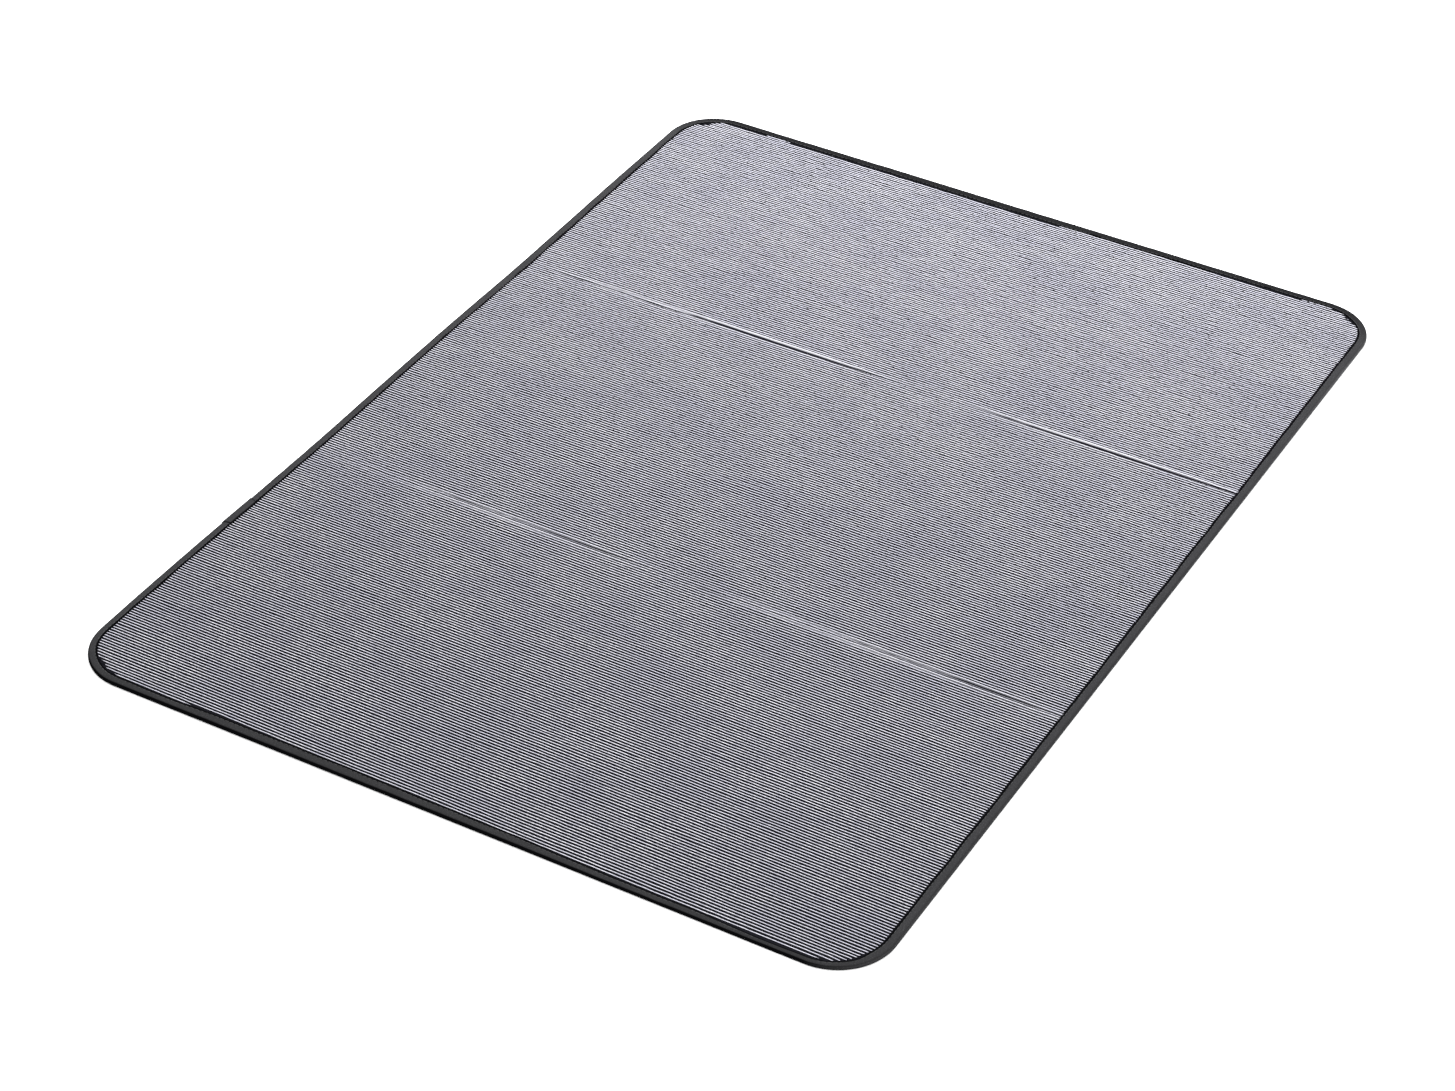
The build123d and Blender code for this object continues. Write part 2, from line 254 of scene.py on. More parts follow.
def crease_lines(x):
    """Each crease at X: its Y, its half width in mm, how deep it is and how strong its painted
    shade is, and how raised its far and near lips are and how strong their painted highlight is."""
    share = x / HALF_WIDTH
    wander = 0.3 * MM * CREASE_WANDER(x, 0 * x)
    # The rear crease is faint right of the middle and at its left end, the front one in the
    # middle and toward its left end.
    rear_faint = 0.85 * bulge(share, 0.16, 0.17)
    rear = smoothstep((share + 1.0) / 0.35) * (1 - rear_faint)
    front_faint = 0.9 * bulge(share, 0.0, 0.17)
    front = smoothstep((share + 1.15) / 0.8) * (1 - front_faint)
    rear_line = REAR_CREASE - 0.9 * MM + 1.2 * MM * share + wander
    front_line = FRONT_CREASE + 0.2 * MM + 0.7 * MM * share - wander
    return (
        (rear_line, 0.9, rear, 0.55 * rear, 0.18 * rear),
        (front_line, 0.5, 0.7 * front, 0.25 * front, 0.25 * front),
    )


def crease_shape(x, y):
    """Height change at the creases, a painted highlight on the lips, and painted shade along the
    crease lines.
    """
    height, painted_lip_highlight, painted_crease_shade = 0 * x, 0 * x, 0 * x
    for line, width, dark, far_lip, near_lip in crease_lines(x):
        off = (y - line) / MM
        # The lips are raised, and the same share paints a highlight on them.
        lips = far_lip * bulge(off, LIP_PLACE, LIP_SPREAD)
        lips = lips + near_lip * bulge(off, -LIP_PLACE, LIP_SPREAD)
        height = height + LIP_HEIGHT * lips - CREASE_DEPTH * dark * bulge(off, 0.0, width)
        painted_lip_highlight = painted_lip_highlight + lips
        # Painted shade along the crease line.
        painted_crease_shade = painted_crease_shade + dark * np.exp(-((off / width) ** 4))
    return height, painted_lip_highlight, painted_crease_shade


# --- Mesh helpers ---------------------------------------------------------------------
def link(name, data):
    """An object in the scene for a mesh, camera or light."""
    piece = bpy.data.objects.new(name, data)
    bpy.context.scene.collection.objects.link(piece)
    return piece


def make_mesh(name, points, faces, material, uv=None, values=None):
    """A smooth-shaded mesh, with a UV place and named values for each point."""
    mesh = bpy.data.meshes.new(name)
    mesh.from_pydata(points.reshape(-1, 3).tolist(), [], faces.tolist())
    mesh.shade_smooth()
    if uv is not None:
        layer = mesh.uv_layers.new(name="cloth")
        corner = np.zeros(len(mesh.loops), int)
        mesh.loops.foreach_get("vertex_index", corner)
        layer.data.foreach_set("uv", uv.reshape(-1, 2)[corner].ravel())
    for key, value in (values or {}).items():
        attribute = mesh.attributes.new(key, "FLOAT", "POINT")
        attribute.data.foreach_set("value", np.ravel(value).astype(np.float32))
    mesh.materials.append(material)
    return link(name, mesh)


def grid_faces(rows, columns, flip=False, closed=False):
    """Quads of a grid of points; closed joins the last column to the first."""
    row = np.arange(rows - 1)[:, None] * columns
    column = np.arange(columns if closed else columns - 1)[None]
    following = (column + 1) % columns
    quads = [row + column, row + following, row + columns + following, row + columns + column]
    faces = np.stack(quads, -1).reshape(-1, 4)
    return faces[:, ::-1] if flip else faces


def rim_of(rows, columns):
    """A grid's outer points in order."""
    grid = np.arange(rows * columns).reshape(rows, columns)
    return np.concatenate([grid[0, :-1], grid[:-1, -1], grid[-1, :0:-1], grid[:0:-1, 0]])


def slab_faces(rows, columns, flip):
    """Quads of a thin slab: one grid, a second one behind it, and the sides between them."""
    count = rows * columns
    near = grid_faces(rows, columns, flip)
    rim = rim_of(rows, columns)
    following = np.roll(rim, -1)
    sides = np.stack([rim, following, following + count, rim + count], -1)
    return np.concatenate([near, near[:, ::-1] + count, sides if flip else sides[:, ::-1]])


# --- Node helpers ---------------------------------------------------------------------
class Shader:
    """A material's node tree, with short ways to add and join nodes."""

    def __init__(self, name, **settings):
        self.material = bpy.data.materials.new(name)
        self.material.use_nodes = True
        self.tree = self.material.node_tree
        self.surface = self.tree.nodes["Principled BSDF"]
        for key, value in settings.items():
            self.surface.inputs[key.replace("_", " ")].default_value = value

    def add(self, kind, inputs=None, **settings):
        node = self.tree.nodes.new("ShaderNode" + kind)
        for key, value in settings.items():
            setattr(node, key, value)
        for key, value in (inputs or {}).items():
            self.put(node.inputs[key], value)
        return node

    def put(self, socket, value):
        if isinstance(value, bpy.types.NodeSocket):
            self.tree.links.new(value, socket)
        else:
            socket.default_value = value

    def cloth(self, scale=(1, 1, 1), turn=0.0):
        """The place on the cloth, from the piece's UV map."""
        place = self.add("UVMap", uv_map="cloth").outputs[0]
        inputs = {"Vector": place, "Scale": scale, "Rotation": (0, 0, turn)}
        return self.add("Mapping", inputs).outputs[0]

    def solid(self, scale=(1, 1, 1)):
        """The place in the object's own space."""
        place = self.add("TexCoord").outputs["Object"]
        return self.add("Mapping", {"Vector": place, "Scale": scale}).outputs[0]

    def noise(self, place, size, detail=3.0, roughness=0.55):
        inputs = {"Vector": place, "Scale": 1 / size, "Detail": detail, "Roughness": roughness}
        return self.add("TexNoise", inputs).outputs["Fac"]

    def wave(self, place, size, direction="X"):
        """Even bands, one in every size."""
        inputs = {"Vector": place, "Scale": math.pi / (10 * size)}
        return self.add("TexWave", inputs, bands_direction=direction).outputs["Fac"]

    def value(self, name):
        return self.add("Attribute", attribute_name=name).outputs["Fac"]

    def math(self, operation, a, b=0.0, clamp=False):
        return self.add("Math", {0: a, 1: b}, operation=operation, use_clamp=clamp).outputs[0]

    def ramp(self, value, low, high, start=0.0, end=1.0):
        inputs = {"Value": value, "From Min": low, "From Max": high, "To Min": start, "To Max": end}
        return self.add("MapRange", inputs, interpolation_type="SMOOTHSTEP").outputs[0]

    def mix(self, factor, a, b, blend="MIX"):
        node = self.add("Mix", data_type="RGBA", blend_type=blend)
        for socket, value in zip((node.inputs[0], node.inputs[6], node.inputs[7]), (factor, a, b)):
            self.put(socket, value)
        return node.outputs[2]

    def bump(self, height, distance, strength=1.0):
        inputs = {"Height": height, "Distance": distance, "Strength": strength}
        self.put(self.surface.inputs["Normal"], self.add("Bump", inputs).outputs[0])

    def set(self, key, value):
        self.put(self.surface.inputs[key], value)


# --- Cloth materials ------------------------------------------------------------------
def cover_material():
    """Pale lavender cords over a near-black ground, with fibres, streaks and soft clouds; painted
    shade on the rib sides, along the creases and beside the tape, and painted highlights on the
    crease lips.
    """
    s = Shader("ribbed_cover_cloth", Roughness=0.95, Specular_IOR_Level=0.0)
    fibres = s.noise(s.cloth(scale=(1, 2.2, 1)), 0.55 * MM, detail=4, roughness=0.7)
    streaks = s.noise(s.cloth(scale=(0.3, 1, 1)), 2.2 * MM, detail=3)
    flecks = s.noise(s.cloth(scale=(0.8, 1, 1)), 1.6 * MM, detail=1)
    clouds = s.noise(s.cloth(scale=(0.7, 1, 1)), 50 * MM, detail=6, roughness=0.78)
    loose = s.math("MULTIPLY", s.math("SUBTRACT", flecks, 0.5), s.value("looseness"))
    rough_edge = s.math("ADD", s.math("MULTIPLY", fibres, 0.3), loose)
    edge = s.math("ADD", s.value("crest_and_painted_shadow"), rough_edge)
    # Only the top of each rib turns pale: the near-black ground is the cloth's own colour in the
    # grooves and painted shade on the lower rib sides.
    cord = s.ramp(edge, 0.72, 0.90)
    # The painted highlight on the crease lips turns the cords there pale.
    cord = s.math("ADD", cord, s.value("painted_lip_highlight"), clamp=True)
    # The painted shade along the creases turns the cords there to the dark ground.
    cord = s.math("SUBTRACT", cord, s.value("painted_crease_shade"), clamp=True)
    pale = s.mix(s.ramp(fibres, 0.3, 0.7), (0.72, 0.715, 0.77, 1), (0.95, 0.945, 0.98, 1))
    pale = s.mix(s.ramp(flecks, 0.4, 0.6, 0.0, 0.8), pale, (0.398, 0.399, 0.45, 1))
    pale = s.mix(s.ramp(streaks, 0.35, 0.7, 0.0, 0.5), pale, (0.70, 0.695, 0.77, 1))
    pale = s.mix(s.ramp(clouds, 0.38, 0.62, 0.0, 0.5), pale, (0.497, 0.498, 0.60, 1))
    # Painted highlight on the crease lips.
    pale = s.mix(s.value("painted_lip_highlight"), pale, (0.90, 0.89, 0.93, 1))
    ground = s.mix(fibres, (0.003, 0.003, 0.004, 1), (0.014, 0.014, 0.018, 1))
    s.set("Base Color", s.mix(cord, ground, pale))
    s.bump(fibres, 0.12 * MM, 0.6)
    return s.material


def tape_material():
    """Black twill tape: painted light turns its top face grey, and its edges and side keep a
    near-black painted shade.
    """
    s = Shader("binding_tape_cloth", Roughness=0.95, Specular_IOR_Level=0.0)
    place = s.cloth()
    twill = s.wave(s.cloth(turn=math.radians(38)), 0.55 * MM)
    warp = s.wave(place, 0.42 * MM, "Y")
    lint = s.noise(place, 0.8 * MM, detail=4, roughness=0.7)
    patches = s.noise(place, 14 * MM, detail=2)
    weave = s.math("MULTIPLY", s.math("ADD", twill, warp), 0.5)
    face = s.mix(weave, (0.019, 0.019, 0.020, 1), (0.093, 0.093, 0.096, 1))
    face = s.mix(s.ramp(lint, 0.45, 0.75, 0.0, 0.6), face, (0.16, 0.16, 0.165, 1))
    face = s.mix(s.ramp(patches, 0.3, 0.7, 0.0, 0.35), face, (0.048, 0.048, 0.050, 1))
    dark = s.mix(weave, (0.001, 0.001, 0.0012, 1), (0.003, 0.003, 0.0035, 1))
    # Painted light: the grey face colour where the tape is lit, and the near-black colour as its
    # painted shade.
    s.set("Base Color", s.mix(s.value("painted_light"), dark, face))
    s.bump(s.math("ADD", weave, s.math("MULTIPLY", lint, 0.6)), 0.12 * MM, 0.8)
    return s.material


def thread_material():
    """Twisted near-black thread."""
    s = Shader("seam_thread_cloth", Roughness=0.6, Specular_IOR_Level=0.4)
    twist = s.wave(s.solid(), 0.3 * MM, "DIAGONAL")
    s.set("Base Color", s.mix(twist, (0.012, 0.012, 0.013, 1), (0.045, 0.045, 0.047, 1)))
    s.bump(twist, 0.05 * MM)
    return s.material


def backing_material():
    """Coated dark plain-weave sheet, slightly cloudy."""
    s = Shader("backing_cloth", Specular_IOR_Level=0.25)
    place = s.cloth()
    weave = s.math("MULTIPLY", s.wave(place, 0.7 * MM), s.wave(place, 0.7 * MM, "Y"))
    cloud = s.noise(place, 40 * MM, detail=4)
    grain = s.noise(place, 0.5 * MM, detail=3)
    cloth = s.mix(weave, (0.018, 0.018, 0.020, 1), (0.045, 0.045, 0.050, 1))
    s.set("Base Color", s.mix(s.ramp(cloud, 0.35, 0.7, 0.0, 0.4), cloth, (0.06, 0.06, 0.066, 1)))
    shine = s.math("ADD", cloud, s.math("MULTIPLY", grain, 0.3))
    s.set("Roughness", s.ramp(shine, 0.4, 0.9, 0.55, 0.75))
    s.bump(s.math("ADD", weave, s.math("MULTIPLY", grain, 0.4)), 0.12 * MM, 0.8)
    return s.material


# --- Pieces of cloth ------------------------------------------------------------------
def crosses(piece):
    """Bakes the piece's place into its mesh; the piece spans the rear or the front crease."""
    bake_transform(piece)


def part_of(nodes, rear):
    """The CAD nodes of one kind that a rear or front piece stands for."""
    return [f"{nodes}_rear", f"{nodes}_middle"] if rear else [f"{nodes}_front"]


def column_shares():
    """Places across the mat from -1 to 1, closer together at the edges."""
    close = 1 - np.array([0.0, 2.4, 3.2, 4.0, 4.8]) * MM / HALF_WIDTH
    even = np.linspace(-close[-1], close[-1], COVER_COLUMNS - 8)
    return np.concatenate([-close[:-1], even, close[-2::-1]])


def tucked_under(inside):
    """Distance inside the cover's end, with what lies past it gathered into a thin margin."""
    margin = 0.6 * MM
    return np.where(inside > margin, inside, margin * np.exp(np.minimum(inside / margin - 1, 0)))


def rib_rows(way):
    """The rows of points along the ribs, from the split to past the end: each one's Y on the
    flat cloth, and its height as a share of a rib's."""
    reach = HALF_LENGTH - COVER_INSET + RIB_PITCH - way * SPLIT
    rib_count = math.ceil(reach / RIB_PITCH)
    offsets = np.array([offset for offset, _ in RIB_SECTION])
    heights = np.array([height for _, height in RIB_SECTION])
    steps = np.concatenate([[0.0], (np.arange(rib_count)[:, None] + 0.5 + offsets[None]).ravel()])
    height = np.concatenate([[0.0], np.tile(heights, rib_count)])
    return (SPLIT + way * steps * RIB_PITCH)[:, None], height[:, None]


def rib_places(flat_y, way):
    """The rows' X and Y: slightly askew and uneven, and gathered under the tape at the end."""
    limit = HALF_LENGTH - COVER_INSET
    shares = column_shares()[None]
    x = half_width_at(flat_y, COVER_INSET) * shares
    rib_count = (len(flat_y) - 1) // len(RIB_SECTION)
    jitter = RANDOM.normal(0, 1, (rib_count, x.shape[1])).repeat(len(RIB_SECTION), 0)
    jitter = np.concatenate([0 * jitter[:1], jitter])
    jitter = jitter * (RIB_JITTER + REAR_RIB_JITTER * smoothstep(flat_y / HALF_LENGTH))
    skew = RIB_SKEW + FRONT_RIB_SKEW * smoothstep(-flat_y / HALF_LENGTH)
    y = flat_y + skew * x + RIB_WANDER_WIDTH * RIB_WANDER(x * 0.4, flat_y * 3) + jitter
    y = way * (limit - tucked_under(limit - way * y))
    return half_width_at(y, COVER_INSET) * shares, y


def ribbed_cover(rear, material):
    """One half of the cover, with every rib as real relief."""
    way = 1 if rear else -1
    flat_y, height = rib_rows(way)
    x, y = rib_places(flat_y, way)
    inset = inset_of(x, y)
    # Painted shadow beside the tape: the cords fade to the dark ground colour near its inner edge.
    painted_shadow_width = END_PAINTED_SHADOW_WIDTH * near_end(np.abs(y))
    crest_and_painted_shadow = height * smoothstep((inset - tape_leg(x, y) - painted_shadow_width) / CORD_FADE)
    swell = 1 + RIB_SWELL_SHARE * RIB_SWELL(x * 0.5, y)
    # The crease heights, the painted highlight on the crease lips, and the painted shade along the
    # crease lines.
    fold, painted_lip_highlight, painted_crease_shade = crease_shape(x, y)
    pressed = PRESSED_DEPTH * (1 - smoothstep((inset - PRESSED_INSET) / PRESSED_FADE))
    floor = COVER_TOP - RIB_HEIGHT
    rise = COVER_LIFT_SHARE * lift(x, y) + fold
    z = floor + height * (RIB_HEIGHT * swell - pressed) + rise
    z = np.maximum(z, floor - GROOVE_DEPTH_LIMIT)

    points = np.stack([x, y, z], -1)
    uv = np.stack([x, y], -1)
    faces = grid_faces(*x.shape, flip=not rear)
    name = "ribbed_cover_cloth_rear" if rear else "ribbed_cover_cloth_front"
    looseness = 0.3 + 0.8 * smoothstep(0.8 + y / HALF_LENGTH)
    values = {"crest_and_painted_shadow": crest_and_painted_shadow, "painted_lip_highlight": painted_lip_highlight, "painted_crease_shade": painted_crease_shade, "looseness": looseness}
    piece = make_mesh(name, points, faces, material, uv, values)
    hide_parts(*part_of("ribbed_cover", rear))
    crosses(piece)


def backing_sheet(rear, material):
    """One half of the coated sheet underneath, thin and slightly uneven.

    Its rows are close together over its crease, and at the rounded corners.
    """
    way = 1 if rear else -1
    crease = REAR_CREASE if rear else FRONT_CREASE
    far = way * (HALF_LENGTH - COVER_INSET)
    corner = far - way * CORNER_RADIUS
    bend_start, bend_end = crease - way * 6 * MM, crease + way * 6 * MM
    rows = np.concatenate([
        np.linspace(SPLIT, bend_start, 24, endpoint=False),
        np.linspace(bend_start, bend_end, 25, endpoint=False),
        np.linspace(bend_end, corner, 30, endpoint=False),
        np.linspace(corner, far, 22),
    ])
    x = half_width_at(rows, COVER_INSET)[:, None] * column_shares()[None]
    y = rows[:, None] + 0 * x
    tucked = 1 - smoothstep((inset_of(x, y) - 5.2 * MM) / (1.2 * MM))
    under = BACKING_LEVEL + BACKING_RIPPLE * PANEL_RIPPLE(x * 2, y * 2) + BACKING_TUCK * tucked
    under = np.maximum(under, BACKING_LOWEST)
    over = np.maximum(under + BACKING_THICKNESS, BACKING_LOWEST_TOP)
    lower = np.stack([x, y, under], -1)
    upper = np.stack([x, y, over], -1)
    faces = slab_faces(*x.shape, flip=rear)
    uv = np.tile(np.stack([x, y], -1).reshape(-1, 2), (2, 1))
    name = "backing_cloth_rear" if rear else "backing_cloth_front"
    points = np.concatenate([lower.reshape(-1, 3), upper.reshape(-1, 3)])
    piece = make_mesh(name, points, faces, material, uv)
    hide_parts(*part_of("backing", rear))
    crosses(piece)


def edge_run(rear, step, start=0.0, end=None):
    """Points along half of the outline from its left end, with outward directions."""
    way = 1 if rear else -1
    side = HALF_LENGTH - way * SPLIT - CORNER_RADIUS
    arc = math.pi / 2 * CORNER_RADIUS
    top = 2 * (HALF_WIDTH - CORNER_RADIUS)
    total = 2 * side + 2 * arc + top
    end = total if end is None else end
    s = np.linspace(start, end, max(2, int(round((end - start) / step)) + 1))
    first = np.clip(s - side, 0, arc) / CORNER_RADIUS
    second = np.clip(s - side - arc - top, 0, arc) / CORNER_RADIUS
    turn = first + second
    out = np.stack([-np.cos(turn), np.sin(turn)], -1)
    x = -HALF_WIDTH + CORNER_RADIUS * (1 - np.cos(first)) + np.clip(s - side - arc, 0, top)
    x = x + CORNER_RADIUS * np.sin(second)
    up = np.clip(s, 0, side) + CORNER_RADIUS * np.sin(first)
    down = CORNER_RADIUS * (1 - np.cos(second)) + np.clip(s - side - 2 * arc - top, 0, side)
    y = SPLIT + way * (up - down)
    out[:, 1] *= way
    return s, np.stack([x, y], -1), out


def tape_leg(x, y):
    """The upper leg's width at an edge place: sewn unevenly, and narrower at the front's ends."""
    front, rear = near_end(-y), near_end(y)
    # How much wider each stretch is than the usual leg, in millimetres, by place along it.
    across = x / MM
    right = smoothstep((across + 100) / 330)
    left = smoothstep((-across - 130) / 80)
    along_front = 0.4 - 2.4 * right - 0.9 * left - bulge(across, -183, 25) - bulge(across, 192, 22)
    along_rear = 0.1 + 1.2 * bulge(across, -20, 120) - 0.2 * smoothstep((across - 80) / 140)
    along_left = 0.9 * y / HALF_LENGTH - 0.55 * smoothstep((y - 240 * MM) / (50 * MM))
    along_sides = (1 - front) * (1 - rear) * np.where(x > 0, -0.3, along_left)
    wander = 0.15 * TAPE_WANDER(x, y * 0.8)
    return TAPE_WIDTH + (wander + rear * along_rear + front * along_front + along_sides) * MM


def tape_points(place, out, leg, section, grow=0.0):
    """The section swept along the run; grow stands it off its own surface."""
    share = np.array([a for a, _ in section])
    level = np.array([b for _, b in section])
    inset = leg[:, None] * share[None]
    away = smoothstep((0.35 - share) / 0.3)[None] * grow
    inset = inset - away
    x = place[:, 0, None] - out[:, 0, None] * inset
    y = place[:, 1, None] - out[:, 1, None] * inset
    rise = lift(x, y) + 0.05 * MM * TAPE_WANDER(x * 2, y * 2)
    top = EDGE_THICKNESS + grow * smoothstep((level - 0.4) / 0.5)[None]
    z = level[None] * top + rise * smoothstep((level - 0.15) / 0.75)[None]
    return np.stack([x, y, z], -1)


def tape_values(s, place, out, section):
    """The tape's own coordinates, and where light is painted on it: its top face, least on the rear
    edge, and its right wall, brighter toward the rear; elsewhere it keeps painted shade.
    """
    share = np.array([a for a, _ in section])
    level = np.array([b for _, b in section])
    steps = np.hypot(np.diff(share) * TAPE_WIDTH, np.diff(level) * EDGE_THICKNESS)
    across = np.concatenate([[0], np.cumsum(steps)])
    uv = np.stack(np.broadcast_arrays(s[:, None], across[None]), -1)
    # Painted shade: the face darkens toward its inner edge, where it meets the cover, and toward
    # its outer rim.
    middle = smoothstep((0.86 - share) / 0.1) * smoothstep((share - 0.02) / 0.15)
    face = smoothstep((level - 0.9) / 0.07) * middle
    wall = smoothstep((level - 0.2) / 0.3) * smoothstep((0.15 - share) / 0.1)
    right, rear, front = out[:, :1], out[:, 1:], -out[:, 1:]
    # Painted light on the top face, by the way the edge faces: least on the rear edge, a little
    # less on the front one.
    facing = 0.5 - 0.34 * np.clip(rear, 0, 1) - 0.09 * np.clip(front, 0, 1)
    # Painted light on the right wall from the key light, brighter toward the rear.
    lit = 0.54 + 0.4 * smoothstep(place[:, 1:] / HALF_LENGTH)
    return uv, np.clip(face * facing + wall * lit * np.clip(right, 0, 1), 0, 1)


def open_mouth(faces, place):
    """Opens the tape's wall over the inlet, and closes the cut edges round the opening."""
    top, wall, bottom = WALL_OUTSIDE
    inner_bottom, inner_wall, inner_top = WALL_INSIDE
    columns = len(TAPE_OUTSIDE + TAPE_INSIDE)
    low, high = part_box("inlet_contact_left")[0].x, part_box("inlet_contact_right")[1].x
    middle, half = (low + high) / 2, MOUTH_WIDTH / 2
    inside = (np.abs(place[:, 0] - middle) <= half) & (place[:, 1] > HALF_LENGTH - MM)
    rows = np.flatnonzero(inside)
    row, column = faces[:, 0] // columns, faces[:, 0] % columns
    opened = (top, wall, inner_bottom, inner_wall)
    cut = (row >= rows[0]) & (row < rows[-1]) & np.isin(column, opened)
    bases = rows[:-1] * columns
    bridges = [
        np.stack([bases + a, bases + b, bases + columns + b, bases + columns + a], -1)
        for a, b in ((top, inner_top), (inner_bottom, bottom))
    ]
    cap = np.array([(top, wall, inner_wall, inner_top), (wall, bottom, inner_bottom, inner_wall)])
    caps = [cap + rows[0] * columns, cap[:, ::-1] + rows[-1] * columns]
    return np.concatenate([faces[~cut], *bridges, *caps])


def edge_tape(rear, material):
    """One half of the woven binding, folded over the edge."""
    s, place, out = edge_run(rear, TAPE_STEP)
    leg = tape_leg(place[:, 0], place[:, 1])
    section = TAPE_OUTSIDE + TAPE_INSIDE
    points = tape_points(place, out, leg, section)
    uv, painted_light = tape_values(s, place, out, section)
    columns = len(section)
    faces = grid_faces(len(s), columns, closed=True, flip=not rear)
    if rear:
        faces = open_mouth(faces, place)
    name = "binding_tape_rear" if rear else "binding_tape_front"
    piece = make_mesh(name, points, faces, material, uv, {"painted_light": painted_light})
    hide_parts(*part_of("edge_binding", rear))
    crosses(piece)


def tape_lap(material):
    """The tape's free end, folded over its start on the left edge, with skewed ends."""
    low, high = LAP_LOW.y, LAP_HIGH.y
    start, end = SPLIT - high, SPLIT - low
    s, place, out = edge_run(False, LAP_STEP, start, end)
    leg = tape_leg(place[:, 0], place[:, 1]) + LAP_OVERHANG
    section = TAPE_OUTSIDE[:-3]
    middle = (s - (start + end) / 2)[:, None] / (end - start)
    outer = tape_points(place, out, leg, section, grow=LAP_STANDOFF)
    inner = tape_points(place, out, leg, section, grow=-LAP_SINK)
    skew = np.array([share for share, _ in section])[None] * LAP_SKEW * np.sign(middle)
    outer[..., 1] += skew
    inner[..., 1] += skew
    weave_shift = 40 * MM
    uv, painted_light = tape_values(s + weave_shift, place, out, section)
    # Painted shade at the lap's two ends.
    painted_light = painted_light * smoothstep((0.5 - np.abs(middle)) / 0.03)
    faces = slab_faces(*outer.shape[:2], flip=True)
    points = np.concatenate([outer.reshape(-1, 3), inner.reshape(-1, 3)])
    uv = np.tile(uv.reshape(-1, 2), (2, 1))
    painted_light = np.tile(np.ravel(painted_light), 2)
    piece = make_mesh("binding_tape_lap", points, faces, material, uv, {"painted_light": painted_light})
    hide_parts("binding_lap")
    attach(piece, "front_panel")


def stitches(rear, material):
    """The seam's stitches on both faces, as short rounded lengths of thread."""
    _, place, out = edge_run(rear, STITCH_PITCH)
    along = np.stack([-out[:, 1], out[:, 0]], -1)
    inset = tape_leg(place[:, 0], place[:, 1]) - STITCH_INSET
    ring = np.linspace(0, 2 * math.pi, THREAD_SIDES, endpoint=False)
    stitch_count = len(STITCH_SHAPE) * THREAD_SIDES
    block = grid_faces(len(STITCH_SHAPE), THREAD_SIDES, closed=True)
    start_cap = list(range(THREAD_SIDES))[::-1]
    end_cap = list(range(stitch_count - THREAD_SIDES, stitch_count))
    points, faces = [], []
    for upper in (True, False):
        for centre, way, outward, leg in zip(place[:-1], along[:-1], out[:-1], inset[:-1]):
            middle = centre - outward * leg
            upper_level = UPPER_SEAM_SHARE * EDGE_THICKNESS + lift(*middle)
            level = upper_level if upper else LOWER_SEAM_LEVEL
            base = len(points) * THREAD_SIDES
            for share, size in STITCH_SHAPE:
                spot = middle + way * share * STITCH_PITCH
                side = np.cos(ring) * THREAD_RADIUS * size
                rise = np.sin(ring) * THREAD_RADIUS * size * THREAD_FLATNESS
                sink = STITCH_SINK * (abs(share) * 2) ** 3
                x = spot[0] + outward[0] * side
                y = spot[1] + outward[1] * side
                z = level + rise - sink if upper else np.maximum(level + rise + sink, 0)
                points.append(np.stack([x, y, z], -1))
            faces.extend((block + base).tolist())
            faces.extend([[i + base for i in cap] for cap in (start_cap, end_cap)])
    mesh = bpy.data.meshes.new("stitches")
    mesh.from_pydata(np.concatenate(points).tolist(), [], faces)
    mesh.shade_smooth()
    mesh.materials.append(material)
    piece = link("seam_stitches_rear" if rear else "seam_stitches_front", mesh)
    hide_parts(*part_of("binding_thread", rear))
    crosses(piece)


def crease_braids(rear, nodes, material):
    """The two flexible braids over one crease, each with the plait's cross ridges."""
    boxes = [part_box(node) for node in nodes]
    low_y, high_y = min(b[0].y for b in boxes), max(b[1].y for b in boxes)
    low_z, high_z = boxes[0][0].z, boxes[0][1].z
    outer_x = boxes[0][1].x
    across, along = np.meshgrid(np.linspace(0, 1, 13), np.linspace(0, 1, 49))
    one_way = np.sin(6 * math.pi * across + 16 * math.pi * along)
    other_way = np.sin(6 * math.pi * across - 16 * math.pi * along)
    hollow = BRAID_RIDGE * (0.5 + 0.5 * one_way * other_way)
    y = low_y + (high_y - low_y) * along
    points, faces = [], []
    for side in (-1, 1):
        x = side * (outer_x - BRAID_WIDTH * (1 - across))
        faces.append(slab_faces(*across.shape, flip=side < 0) + len(points) * across.size)
        for z in (high_z - hollow, low_z + hollow):
            points.append(np.stack([x, y, z], -1).reshape(-1, 3))
    name = "crease_braid_pair_rear" if rear else "crease_braid_pair_front"
    piece = make_mesh(name, np.concatenate(points), np.concatenate(faces), material)
    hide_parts(*nodes)
    crosses(piece)


# --- Materials of the inner parts -----------------------------------------------------
def grained(name, dark, light, size, bump, roughness=0.6, metallic=0.0, stretch=(1, 1, 1)):
    """A material with a fine grain between two colours."""
    s = Shader(name, Roughness=roughness, Metallic=metallic)
    place = s.solid(scale=stretch)
    grain = s.noise(place, size, detail=5, roughness=0.65)
    broad = s.noise(place, size * 25, detail=3)
    tone = s.math("ADD", s.math("MULTIPLY", grain, 0.7), s.math("MULTIPLY", broad, 0.3))
    s.set("Base Color", s.mix(s.ramp(tone, 0.3, 0.7), dark, light))
    spread = 0.12
    s.set("Roughness", s.ramp(grain, 0.3, 0.7, roughness - spread, min(1.0, roughness + spread)))
    s.bump(grain, bump)
    return s.material


